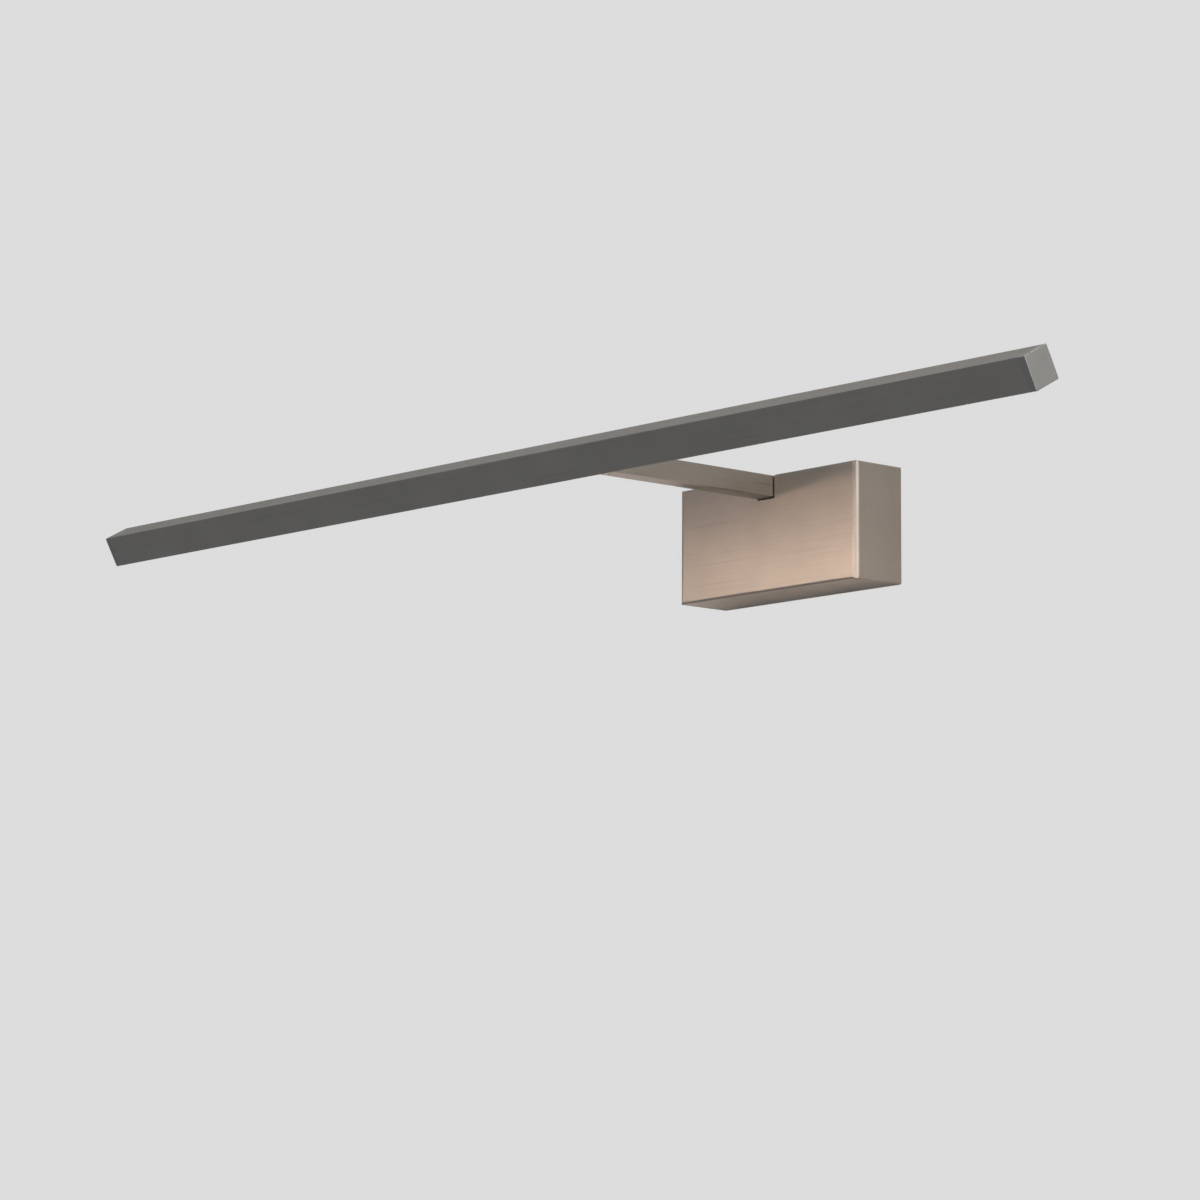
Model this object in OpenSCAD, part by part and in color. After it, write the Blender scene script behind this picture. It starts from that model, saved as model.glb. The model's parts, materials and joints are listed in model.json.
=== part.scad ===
// Wall-mounted picture light: a long tilting LED head on an arm from a wall box.
// Millimetres. +Z is up, the wall is the plane y = 0 and the light stands out along -Y.
// The origin is the centre of the wall plate's back face.

/* [Wall box] */
// Width of the cover
cover_w = 115; // [100:1:150]
// Height of the cover
cover_h = 53; // [48:1:70]
// Distance from the wall to the cover's front face
cover_d = 29; // [26:1:40]
// Sheet thickness of the cover
cover_t = 1.5; // [1:0.1:2]
// Outside bend radius of the cover's upright edges
cover_r = 2.5; // [0.4:0.1:3]
// Outside radius of the cover's level edges
cover_edge_r = 1; // [0.4:0.1:1.4]
// Thickness of the wall plate
plate_t = 2; // [1.6:0.1:3]
// Distance between the two wall fixing slots
fix_spacing = 80; // [70:1:92]
// Height of the wall fixing slots above the origin
fix_z = 11; // [9:0.5:13]

/* [Arm] */
// Outside width and height of the square arm
arm_w = 10; // [10:0.1:13]
// Wall thickness of the arm tube
arm_t = 1; // [0.8:0.1:1]
// Distance from the wall to the head's pivot
arm_reach = 156; // [120:1:220]
// Depth of the arm's top face below the cover's top face
arm_drop = 0.4; // [0:0.1:2]

/* [Head] */
// Overall length of the head, end caps included
head_l = 600; // [300:10:900]
// Height of the head's front face
head_h = 14.5; // [13:0.1:22]
// Depth of the head, front to back
head_d = 14; // [12.5:0.1:22]
// Wall thickness of the head channel
head_t = 1.2; // [1:0.1:1.6]
// Thickness of an end cap
cap_t = 3; // [2:0.1:5]
// Angle that the light is turned towards the wall at rest
head_tilt = 28.5; // [0:0.5:60]
// Distance from the head's back face to the pivot
pivot_back = 10.4; // [9.5:0.1:16]
// Diameter of the pivot screw's shank
pivot_dia = 3; // [2:0.1:3]

/* [Light engine] */
// Distance from one light-emitting diode to the next
led_pitch = 10; // [8:0.5:20]
// Thickness of the diffuser strip
diffuser_t = 1.4; // [1:0.1:2]

/* [Electrics] */
// Bore of the grommet where the mains cable comes in
cable_bore = 7.5; // [6:0.5:9]
// Distance from one terminal way to the next
way_pitch = 8; // [7:0.5:9]
// Depth of the driver's case
driver_d = 19; // [14:0.5:20]

/* [Hidden] */

$fn = 48;
eps = 0.01;           // overshoot of a cut beyond the face that it opens
fit_gap = 0.5;        // clearance all round between the cover and the wall plate
wall_gap = 0.5;       // clearance between the cover's rear edge and the wall
slide_gap = 0.1;      // clearance of one piece pushed into another
run_gap = 0.05;       // clearance of the pieces that turn on each other
face_gap = 0.02;      // clearance of a screw in its hole

// wall plate and cover
plate_w = cover_w - 2 * (cover_t + fit_gap);
plate_h = cover_h - 2 * (cover_t + fit_gap);
cover_inside_y = cover_d - cover_t;      // distance from the wall to the inside of the cover's front
slot_len = 10;                           // end-to-end length of a wall fixing slot
slot_r = 2.25;                           // half the width of a wall fixing slot
fix_head_r = 4;                          // radius kept clear for a wall screw's head
tab_w = 14;                              // width of a tab that takes a cover screw
tab_reach = 14;                          // distance that a tab stands out from the wall
tab_x = plate_w / 2 - tab_w / 2 - 4;     // sideways place of the tabs and cover screws
tab_t = plate_t;
tab_screw_y = (tab_reach + plate_t) / 2; // distance from the wall to the cover screws
screw3_r = 1.5;                          // radius of an M3 screw
screw3_head_r = 2.75;                    // radius of an M3 countersunk or pan head
screw3_head_h = 1.4;

// arm
arm_top = cover_h / 2 - arm_drop;
arm_z = arm_top - arm_w / 2;
arm_bottom = arm_z - arm_w / 2;
arm_bore = arm_w - 2 * arm_t;
slot_gap = 0.5;                          // clearance of the arm in the cover's slot
foot_t = 4;                              // thickness of the arm foot's flange
foot_w = arm_w + 16;
foot_drop = 4.5;                         // how far the foot's flange reaches below the arm
foot_screw_x = foot_w / 2 - 4;
spigot_l = 11;                           // length of the foot's spigot inside the tube
tube_y0 = plate_t + foot_t;              // rear end of the tube
set_screw_y = tube_y0 + spigot_l / 2;
arm_edge_r = 0.6;                        // outside edge radius of the arm
web_t = 3.5;                             // thickness of the fork's web behind the ears
ear_r = arm_w / 2 - 1;                   // radius of the fork's ears, kept below the head's top edge
knuckle_gap = 0.8;                       // clearance between the hinge block's cheeks and the fork's web
cheek_r = ear_r - 0.4;                   // radius of the hinge block's cheeks
fork_y0 = arm_reach - cheek_r - knuckle_gap - web_t - 1;   // front end of the tube
plug_l = 12;                             // length of the fork's plug inside the tube
fork_pin_y = fork_y0 - plug_l / 2;
fork_pin_r = 1;
fork_pin_z = arm_z - 1;                  // below the lead
washer_t = 0.45;
ear_t = 2;
ear_in = arm_w / 2 - ear_t;              // half the gap between the fork's ears
cheek_out = ear_in - washer_t - run_gap; // half the width over the hinge block's cheeks
lead_r = 1.1;                            // radius of the low-voltage lead
lead_slot = 2 * lead_r + 0.4;            // width of the lead's slot between the cheeks
pivot_r = pivot_dia / 2;
nut_r = 3.2;                             // from the pivot nut's middle to its corners
nut_h = 2.4;
lead_up = pivot_r + lead_r + 0.2;        // height of the lead above the pivot's axis
lead_exit_y = tube_y0 + spigot_l + 4.5;  // where the lead leaves the tube inside the box
bush_r = 2.3;
bush_flange_r = 3.2;
bush_flange_t = 0.8;

// head, in its own frame: origin at the middle of its section, +y to the back, +z up, light down
head_centre_back = pivot_back + head_d / 2;   // distance from the section's middle to the pivot
head_r = 0.5;                                 // outside edge radius
channel_l = head_l - 2 * cap_t;
inside_d = head_d - 2 * head_t;
inside_top = head_h / 2 - head_t;
lip_t = 0.8;                                  // thickness and reach of the lips under the diffuser
ledge_z = -head_h / 2 + lip_t + diffuser_t + 2 * slide_gap;   // underside of the ledges over the diffuser
tape_t = 0.2;
board_t = 1;
board_w = inside_d - 1.4;
board_l = channel_l - 24;
board_bottom = inside_top - tape_t - board_t;
chip_x = 3.5;
chip_y = 2.8;
chip_t = 0.7;
chip_count = 2 * floor((board_l / 2 - chip_x) / led_pitch - 0.5) + 2;
connector_x = 9;                              // sideways start of the lead's connector
connector_l = 7;
connector_w = 3;
connector_h = 2.6;
connector_y = (chip_y / 2 + inside_d / 2) / 2;   // halfway between the chips and the channel's back wall
flange_t = 2.5;                               // thickness of the hinge block's flange
flange_w = 24;
flange_h = 9;
hinge_screw_x = 8;
hinge_screw_r = 1.25;
hinge_head_r = 2.3;
hinge_head_h = 1.05;
lug_l = 8;                                    // length of an end cap's lug inside the channel

// electrics
grommet_flange_r = cable_bore / 2 + 2.25;
grommet_neck_r = cable_bore / 2 + 1.25;
grommet_flange_t = 1.5;
ways = 3;
term_w = ways * way_pitch + 1;
term_h = 14;
term_d = 12;
term_x = plate_w / 2 - 4 - term_w / 2;
term_z = -plate_h / 2 + 4.5 + term_h / 2;
term_top = term_z + term_h / 2;
term_screw_x = term_x - way_pitch / 2;   // the fixing screw goes between the first two ways
cable_x = fix_spacing / 2 - 13;
cable_z = (term_top + fix_z - fix_head_r) / 2;
clamp_r = 2.2;
clamp_bore_r = 1.5;
driver_x0 = -plate_w / 2 + 2;
driver_x1 = cable_x - grommet_flange_r - 7;
ear_l = 6;
driver_w = driver_x1 - driver_x0 - 2 * ear_l;
driver_x = (driver_x0 + driver_x1) / 2;
driver_top = fix_z - fix_head_r - 2;
driver_bottom = -plate_h / 2 + 1.5;
driver_h = driver_top - driver_bottom;
driver_z = (driver_top + driver_bottom) / 2;
driver_t = 1.5;
driver_lid_t = 1.5;
driver_face_y = plate_t + driver_d - driver_lid_t;   // distance from the wall to the lid's back
driver_ear_t = 2;
ear_h = 10;
driver_screw_x = [for (s = [-1, 1]) driver_x + s * (driver_w + ear_l) / 2];
driver_board_y = plate_t + driver_t + 2.5;
driver_board_t = 1.6;
driver_room = driver_d - driver_lid_t - 0.5 - (driver_board_y - plate_t + driver_board_t);
earth_x = foot_w / 2 + 5.5;
earth_z = fix_z + 1;
tag_t = 0.8;
tag_r = 3.4;
tag_neck_w = 2.6;                        // width of the tag's neck, and depth of its square barrel
tag_barrel_top = tag_r + 1.9;            // from the earth screw down to the top of the barrel
tag_barrel_end = tag_barrel_top + 3.1;
tag_wire_y = 1.45;                       // from the tag's back to the middle of the wire
wire_r = 0.9;
pan_head_h = 1.8;                        // height of a pan head
small_head_h = 1.6;                      // height of a pan head where there is little room

// ---- shared shapes ----

// Rectangle with round corners, drawn from exact squares and circles
module rounded_rect(w, h, r) {
    square([w - 2 * r, h], center = true);
    square([w, h - 2 * r], center = true);
    for (x = [-1, 1], y = [-1, 1]) translate([x * (w / 2 - r), y * (h / 2 - r)]) circle(r);
}

// A section drawn in (y, z) and pushed out along x, centred
module along_x(l) {
    rotate([90, 0, 90]) translate([0, 0, -l / 2]) linear_extrude(l) children();
}

// A section drawn in (x, z) and pushed out from y = y0 to y = y0 - l
module out_from_wall(l, y0 = 0) {
    translate([0, -y0, 0]) rotate([90, 0, 0]) linear_extrude(l) children();
}

// A block from two opposite corners
module block(a, b) {
    translate([min(a[0], b[0]), min(a[1], b[1]), min(a[2], b[2])])
        cube([abs(a[0] - b[0]), abs(a[1] - b[1]), abs(a[2] - b[2])]);
}

// A cylinder along -Y that starts at distance y0 from the wall
module peg(x, y0, z, r, l, sides = 48) {
    translate([x, -y0, z]) rotate([90, 0, 0]) cylinder(r = r, h = l, $fn = sides);
}

// Countersunk screw: its head's face is at the origin and its shank runs along -z
module csk_screw(r, head_r, head_h, l) {
    difference() {
        rotate_extrude() polygon([[0, 0], [head_r, 0], [head_r, -0.2], [r, -head_h], [r, -l], [0, -l]]);
        translate([0, 0, -0.6 * head_h]) cylinder(r = 0.55 * head_r, h = head_h, $fn = 6);
    }
}

// The hole that a countersunk screw fills, with clearance g all round
module csk_hole(r, head_r, head_h, l, g = face_gap) {
    translate([0, 0, eps])
        rotate_extrude() polygon([[0, 0], [head_r + g, 0], [head_r + g, -0.2 - g - eps],
            [r + g, -head_h - g - eps], [r + g, -l], [0, -l]]);
}

// Pan-head screw: its head stands on the plane z = 0 and its shank runs along -z
module pan_screw(r, head_r, head_h, l) {
    difference() {
        union() {
            cylinder(r = head_r, h = head_h);
            translate([0, 0, -l]) cylinder(r = r, h = l + eps);
        }
        for (a = [0, 90]) rotate([0, 0, a])
            translate([-0.6 * head_r, -0.3, 0.5 * head_h]) cube([1.2 * head_r, 0.6, head_h]);
    }
}

// Smooth curve through a list of points, with n steps between each pair (Catmull-Rom)
function spline_point(a, b, c, d, t) = 0.5 * (2 * b + (c - a) * t
    + (2 * a - 5 * b + 4 * c - d) * t * t + (3 * b - a - 3 * c + d) * t * t * t);
function smooth(p, n) = let (last = len(p) - 1) concat(
    [for (i = [0 : last - 1], k = [0 : n - 1])
        spline_point(p[max(i - 1, 0)], p[i], p[i + 1], p[min(i + 2, last)], k / n)],
    [p[last]]);
function unit(v) = v / norm(v);
function heading(p, i) = unit(p[min(i + 1, len(p) - 1)] - p[max(i - 1, 0)]);
function side_of(p, i, was) = let (h = heading(p, i), s = was - (was * h) * h) unit(s);
function sides_along(p, i, was) = let (s = side_of(p, i, was))
    i == len(p) - 1 ? [s] : concat([s], sides_along(p, i + 1, s));

// Round wire of radius r along the points of p
module wire(p, r, steps = 3, sides = 8) {
    path = smooth(p, steps);
    first = heading(path, 0);
    across = sides_along(path, 0, abs(first[0]) < 0.9 ? [1, 0, 0] : [0, 0, 1]);
    count = len(path);
    rings = [for (i = [0 : count - 1], k = [0 : sides - 1])
        path[i] + r * (cos(360 * k / sides) * across[i]
            + sin(360 * k / sides) * cross(heading(path, i), across[i]))];
    skin = [for (i = [0 : count - 2], k = [0 : sides - 1])
        [i * sides + k, i * sides + (k + 1) % sides, (i + 1) * sides + (k + 1) % sides, (i + 1) * sides + k]];
    polyhedron(rings, concat([[for (k = [sides - 1 : -1 : 0]) k]], skin,
        [[for (k = [0 : sides - 1]) (count - 1) * sides + k]]), convexity = 6);
}

// ---- wall box ----

module wall_plate() {
    color("silver") difference() {
        union() {
            out_from_wall(plate_t) square([plate_w, plate_h], center = true);
            for (s = [-1, 1]) translate([s * tab_x, 0, plate_h / 2])
                block([-tab_w / 2, 0, -tab_t], [tab_w / 2, -tab_reach, 0]);
        }
        for (s = [-1, 1]) {
            out_from_wall(plate_t + 2 * eps, -eps) translate([s * fix_spacing / 2, fix_z]) fixing_slot();
            translate([s * tab_x, -tab_screw_y, plate_h / 2 - tab_t - eps])
                cylinder(r = screw3_r + face_gap, h = tab_t + 2 * eps);
        }
        at_foot_screws() csk_hole(screw3_r, screw3_head_r, screw3_head_h, plate_t + 1);
        for (x = driver_screw_x) peg(x, -eps, driver_z, screw3_r + face_gap, plate_t + 2 * eps);
        peg(cable_x, -eps, cable_z, grommet_neck_r + face_gap, plate_t + 2 * eps);
        peg(earth_x, -eps, earth_z, screw3_r + face_gap, plate_t + 2 * eps);
        peg(term_screw_x, -eps, term_z, screw3_r + face_gap, plate_t + 2 * eps);
    }
}

module fixing_slot() {
    square([slot_len - 2 * slot_r, 2 * slot_r], center = true);
    for (s = [-1, 1]) translate([s * (slot_len / 2 - slot_r), 0]) circle(slot_r);
}

// Solid block from y0 to y1 from the wall, with round upright edges and finer level edges
module cover_block(w, h, y0, y1, r, edge_r) {
    intersection() {
        out_from_wall(y1 - y0, y0) rounded_rect(w, h, edge_r);
        along_x(w + 2) translate([-y1 / 2 + edge_r, 0]) rounded_rect(y1 + 2 * edge_r, h, edge_r);
        translate([0, 0, -h / 2 - 1]) linear_extrude(h + 2)
            translate([0, -y1 / 2 + r]) rounded_rect(w, y1 + 2 * r, r);
    }
}

module cover() {
    inside_x = cover_w / 2 - cover_t;
    inside_z = cover_h / 2 - cover_t;
    slot_x = arm_w / 2 + slot_gap;
    color("tan") difference() {
        cover_block(cover_w, cover_h, wall_gap, cover_d, cover_r, cover_edge_r);
        block([-inside_x, 1, -inside_z], [inside_x, -cover_inside_y, inside_z]);
        block([-slot_x, 1, arm_bottom - slot_gap], [slot_x, -cover_d - 1, cover_h / 2 + 1]);
        at_cover_screws() csk_hole(screw3_r, screw3_head_r, screw3_head_h, cover_t + 1);
    }
}

// The places of the two cover screws' heads in the top face of the cover
module at_cover_screws() {
    for (s = [-1, 1]) translate([s * tab_x, -tab_screw_y, cover_h / 2]) children();
}

module cover_screws() {
    length = cover_t + fit_gap + tab_t + 1;
    color("gray") at_cover_screws() csk_screw(screw3_r, screw3_head_r, screw3_head_h, length);
}

module cable_grommet() {
    color("dimgray") difference() {
        union() {
            peg(cable_x, 0, cable_z, grommet_neck_r, plate_t + grommet_flange_t);
            peg(cable_x, plate_t, cable_z, grommet_flange_r, grommet_flange_t);
        }
        peg(cable_x, -eps, cable_z, cable_bore / 2, plate_t + grommet_flange_t + 2 * eps);
    }
}

module earth_screw() {
    color("goldenrod") translate([earth_x, -plate_t - tag_t, earth_z]) rotate([90, 0, 0])
        pan_screw(screw3_r, screw3_head_r, pan_head_h, tag_t + plate_t - 0.1);
}

module earth_tag() {
    color("silver") translate([earth_x, -plate_t, earth_z]) difference() {
        union() {
            peg(0, 0, 0, tag_r, tag_t);
            block([-tag_neck_w / 2, 0, 0], [tag_neck_w / 2, -tag_t, -tag_barrel_top - eps]);
            block([-tag_neck_w / 2, 0, -tag_barrel_top], [tag_neck_w / 2, -tag_neck_w, -tag_barrel_end]);
        }
        peg(0, -eps, 0, screw3_r + face_gap, tag_t + 2 * eps);
        translate([0, -tag_wire_y, -tag_barrel_end - eps])
            cylinder(r = wire_r + slide_gap, h = tag_barrel_end - tag_barrel_top - 0.7);
    }
}

// ---- terminal block ----

function way_x(i) = term_x + (i - (ways - 1) / 2) * way_pitch;
term_bottom = term_z - term_h / 2;
term_base_d = 8;                         // depth of the body without its screw chimneys
term_mid_y = plate_t + 5;                // distance from the wall to the wire entries' middle
term_screw_z = term_h / 4;
term_screw_r = 1.3;
term_screw_l = 5.5;
term_screw_y = term_mid_y + wire_r + 0.05;   // distance from the wall to the screws' tips, on the wires
chimney_r = 3;
chimney_h = term_d - term_base_d;
chimney_bore_r = 1.9;
term_head_r = 1.9;                       // radius of the fixing screw's head

module terminal_body() {
    color("white") difference() {
        union() {
            translate([term_x, -plate_t, term_z])
                block([-term_w / 2, 0, -term_h / 2], [term_w / 2, -term_base_d, term_h / 2]);
            for (i = [0 : ways - 1], s = [-1, 1])
                peg(way_x(i), plate_t + term_base_d - eps, term_z + s * term_screw_z, chimney_r, chimney_h);
        }
        for (i = [0 : ways - 1]) {
            translate([way_x(i), -term_mid_y, term_bottom - eps])
                cylinder(r = clamp_r + face_gap, h = term_h + 2 * eps);
            for (s = [-1, 1])
                peg(way_x(i), term_mid_y, term_z + s * term_screw_z, chimney_bore_r, term_d);
        }
        peg(term_screw_x, plate_t - eps, term_z, screw3_r + face_gap, term_d);
    }
}

module terminal_clamps() {
    color("gold") for (i = [0 : ways - 1]) difference() {
        translate([way_x(i), -term_mid_y, term_bottom + 1]) cylinder(r = clamp_r, h = term_h - 2);
        translate([way_x(i), -term_mid_y, term_bottom]) cylinder(r = clamp_bore_r, h = term_h);
        for (s = [-1, 1])
            peg(way_x(i), term_mid_y, term_z + s * term_screw_z, term_screw_r + face_gap, 2 * clamp_r);
    }
}

module terminal_screws() {
    slot_x = term_screw_r + 1;
    slot_z = 0.3;
    slot_d = 0.7;
    color("silver") for (i = [0 : ways - 1], s = [-1, 1])
        translate([way_x(i), -term_screw_y, term_z + s * term_screw_z]) difference() {
            peg(0, 0, 0, term_screw_r, term_screw_l);
            block([-slot_x, -term_screw_l - eps, -slot_z], [slot_x, -term_screw_l + slot_d, slot_z]);
        }
}

module terminal_fixing_screw() {
    color("silver") translate([term_screw_x, -plate_t - term_base_d, term_z]) rotate([90, 0, 0])
        pan_screw(screw3_r, term_head_r, small_head_h, plate_t + term_base_d - 0.1);
}

// ---- driver ----

// The driver's outline made smaller by inset all round, from distance y0 to distance y1 from the wall
module driver_block(inset, y0, y1) {
    x = driver_w / 2 - inset;
    z = driver_h / 2 - inset;
    translate([driver_x, 0, driver_z]) block([-x, -y0, -z], [x, -y1, z]);
}

module driver_case() {
    bore_r = wire_r + 0.2;
    lead_bore_r = lead_r + 0.2;
    ear_x = driver_w / 2 + ear_l;
    color("whitesmoke") difference() {
        union() {
            driver_block(0, plate_t, driver_face_y);
            translate([driver_x, -plate_t, driver_z])
                block([-ear_x, 0, -ear_h / 2], [ear_x, -driver_ear_t, ear_h / 2]);
        }
        driver_block(driver_t, plate_t + driver_t, driver_face_y + 1);
        for (x = driver_screw_x) peg(x, plate_t - eps, driver_z, screw3_r + face_gap, driver_ear_t + 1);
        translate([lead_start[0], lead_start[1], driver_top - driver_t - eps])
            cylinder(r = lead_bore_r, h = driver_t + 1);
        for (z = wire_out_z) translate([driver_x + driver_w / 2 - driver_t - 1, -wire_out_y, z])
            rotate([0, 90, 0]) cylinder(r = bore_r, h = driver_t + 2);
    }
}

module driver_lid() {
    rim_h = 2;
    color("whitesmoke") union() {
        driver_block(0, driver_face_y, driver_face_y + driver_lid_t);
        difference() {
            driver_block(driver_t + slide_gap, driver_face_y - rim_h, driver_face_y + eps);
            driver_block(2 * driver_t, driver_face_y - rim_h - 1, driver_face_y);
        }
    }
}

module driver_board() {
    pillar_x = driver_w / 2 - 6;
    pillar_z = driver_h / 2 - 5;
    pillar_r = 1.5;
    floor_y = plate_t + driver_t;
    pillar_h = driver_board_y - floor_y + eps;
    color("darkgreen") union() {
        driver_block(driver_t + slide_gap, driver_board_y, driver_board_y + driver_board_t);
        for (x = [-1, 1], z = [-1, 1])
            peg(driver_x + x * pillar_x, floor_y, driver_z + z * pillar_z, pillar_r, pillar_h);
    }
}

module driver_transformer() {
    coil_x = 7;
    coil_z = 7.5;
    core_x = coil_x + 2;
    core_z = 6;
    translate([driver_x - driver_w / 16, -driver_board_y - driver_board_t, driver_z]) {
        color("khaki") block([-coil_x, 0, -coil_z], [coil_x, -driver_room + 1, coil_z]);
        color("dimgray") for (s = [-1, 1])
            block([s * coil_x, 0, -core_z], [s * core_x, -driver_room + 2, core_z]);
    }
}

// Each capacitor is given by its place from the driver's middle, sideways and upward, and its radius
module driver_capacitors() {
    input_r = 4;
    smoothing_r = 5;
    places = [
        [driver_w / 4, 4, smoothing_r],
        [driver_w / 4, -6, input_r],
        [-driver_w / 2 + 2 * driver_t + input_r + 1, 0, input_r]
    ];
    color("black") for (c = places)
        peg(driver_x + c[0], driver_board_y + driver_board_t, driver_z + c[1], c[2], driver_room - 1);
}

module driver_screws() {
    color("silver") for (x = driver_screw_x) translate([x, -plate_t - driver_ear_t, driver_z])
        rotate([90, 0, 0]) pan_screw(screw3_r, ear_l / 2 - 0.4, small_head_h, plate_t + driver_ear_t - 0.2);
}

// ---- wires inside the box ----

lead_start = [driver_x + driver_w / 4, -plate_t - driver_d / 2];
wire_out_y = plate_t + driver_d / 2;
wire_out_z = [driver_z - 9, driver_z - 4.5];
wire_room_z = term_bottom - 2.2;           // height of the wires' run under the terminal block
wire_space = 2.4;                           // distance from one wire's run to the next

// Route from the driver's side, in front of the wires of the ways before it, and up into way i
function mains_route(z, i) = let (run_y = -term_mid_y - i * wire_space) [
    [driver_x + driver_w / 2 - 1, -wire_out_y, z],
    [driver_x + driver_w / 2 + 3, -wire_out_y, z],
    [driver_x1 + 3, (run_y - wire_out_y) / 2, z - 2],
    [term_x - term_w / 2 - 3, run_y, wire_room_z + 0.6],
    [way_x(i) - 5, run_y, wire_room_z],
    [way_x(i) - 1.5, run_y / 2 - term_mid_y / 2, wire_room_z + 0.2],
    [way_x(i), -term_mid_y, wire_room_z + 2.2],
    [way_x(i), -term_mid_y, term_bottom + 5]
];

module neutral_wire() {
    color("royalblue") wire(mains_route(wire_out_z[0], 1), wire_r);
}

module live_wire() {
    color("saddlebrown") wire(mains_route(wire_out_z[1], 2), wire_r);
}

module earth_wire() {
    color("yellowgreen") wire([
        [earth_x, -plate_t - tag_wire_y, earth_z - tag_barrel_end + 2.2],
        [earth_x, -plate_t - tag_wire_y, earth_z - tag_barrel_end + 0.8],
        [earth_x, -plate_t - tag_wire_y, earth_z - tag_barrel_end - 0.6],
        [driver_x1 + 3, -plate_t - 3, cable_z - 4],
        [driver_x1 + 2.5, -plate_t - 3.5, term_z],
        [driver_x1 + 4, -plate_t - 3.5, wire_room_z + 3],
        [way_x(0) - 4, -term_mid_y + 0.5, wire_room_z + 0.2],
        [way_x(0) - 1, -term_mid_y, wire_room_z + 0.8],
        [way_x(0), -term_mid_y, wire_room_z + 2.4],
        [way_x(0), -term_mid_y, term_bottom + 5]
    ], wire_r);
}

// ---- arm ----

module arm_foot() {
    flange_bottom = arm_bottom - foot_drop;
    color("silver") difference() {
        union() {
            block([-foot_w / 2, -plate_t, flange_bottom], [foot_w / 2, -tube_y0, plate_h / 2]);
            out_from_wall(spigot_l + eps, tube_y0 - eps) translate([0, arm_z])
                square(arm_bore - 2 * slide_gap, center = true);
        }
        at_foot_screws() csk_hole(screw3_r, screw3_head_r, screw3_head_h, plate_t + foot_t + 1);
        translate([0, -set_screw_y, arm_z - arm_bore / 2 - eps]) cylinder(r = screw3_r + face_gap, h = 3);
    }
}

// The places of the arm foot's two screws, whose heads lie in the back of the wall plate
module at_foot_screws() {
    for (s = [-1, 1]) translate([s * foot_screw_x, 0, arm_z - foot_drop / 2]) rotate([-90, 0, 0]) children();
}

module arm_foot_screws() {
    color("gray") at_foot_screws() csk_screw(screw3_r, screw3_head_r, screw3_head_h, plate_t + foot_t);
}

module arm_set_screw() {
    socket_r = 0.8;
    socket_h = 1.1;
    color("dimgray") translate([0, -set_screw_y, arm_bottom - 0.4]) difference() {
        cylinder(r = screw3_r, h = arm_t + 3);
        translate([0, 0, -eps]) cylinder(r = socket_r, h = socket_h, $fn = 6);
    }
}

module arm_tube() {
    tube_l = fork_y0 - tube_y0;
    color("tan") difference() {
        out_from_wall(tube_l, tube_y0) translate([0, arm_z]) rounded_rect(arm_w, arm_w, arm_edge_r);
        out_from_wall(tube_l + 2 * eps, tube_y0 - eps) translate([0, arm_z]) square(arm_bore, center = true);
        translate([0, -set_screw_y, arm_bottom - eps]) cylinder(r = screw3_r + face_gap, h = arm_t + 2 * eps);
        translate([0, -lead_exit_y, arm_bottom - eps]) cylinder(r = bush_r + face_gap, h = arm_t + 2 * eps);
        across_arm(fork_pin_y, fork_pin_z, fork_pin_r + face_gap, 2 * arm_w);
    }
}

module lead_bush() {
    color("dimgray") translate([0, -lead_exit_y, arm_bottom]) difference() {
        union() {
            translate([0, 0, -bush_flange_t]) cylinder(r = bush_r, h = bush_flange_t + arm_t);
            translate([0, 0, -bush_flange_t]) cylinder(r = bush_flange_r, h = bush_flange_t);
        }
        translate([0, 0, -bush_flange_t - eps])
            cylinder(r = lead_r + 0.1, h = bush_flange_t + arm_t + 2 * eps);
    }
}

// A cylinder of length l across the arm, centred on it
module across_arm(y, z, r, l, x = 0) {
    translate([x, -y, z]) rotate([0, 90, 0]) cylinder(r = r, h = l, center = true);
}

module arm_fork() {
    groove_r = lead_r + 0.15;
    ear_y0 = fork_y0 + web_t;
    ear_out = arm_w / 2;
    color("tan") difference() {
        union() {
            out_from_wall(plug_l + eps, fork_y0 - plug_l) translate([0, arm_z])
                square(arm_bore - 2 * slide_gap, center = true);
            out_from_wall(web_t + 1, fork_y0) translate([0, arm_z]) rounded_rect(arm_w, arm_w, arm_edge_r);
            for (s = [-1, 1]) {
                block([s * ear_in, -ear_y0, arm_z - ear_r], [s * ear_out, -arm_reach, arm_z + ear_r]);
                across_arm(arm_reach, arm_z, ear_r, ear_t, s * (ear_in + ear_out) / 2);
            }
        }
        across_arm(arm_reach, arm_z, pivot_r + face_gap, 2 * arm_w);
        across_arm(fork_pin_y, fork_pin_z, fork_pin_r + face_gap, 2 * arm_w);
        peg(0, fork_y0 - plug_l - 1, arm_z + lead_up, groove_r, plug_l + web_t + 3);
        translate([0, -fork_y0, arm_z])
            block([-groove_r, 0, lead_up], [groove_r, plug_l + 1, arm_bore / 2]);
    }
}

module fork_pin() {
    color("gray") difference() {
        across_arm(fork_pin_y, fork_pin_z, fork_pin_r, arm_w - 0.4);
        across_arm(fork_pin_y, fork_pin_z, fork_pin_r - 0.4, 2 * arm_w);
    }
}

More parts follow.
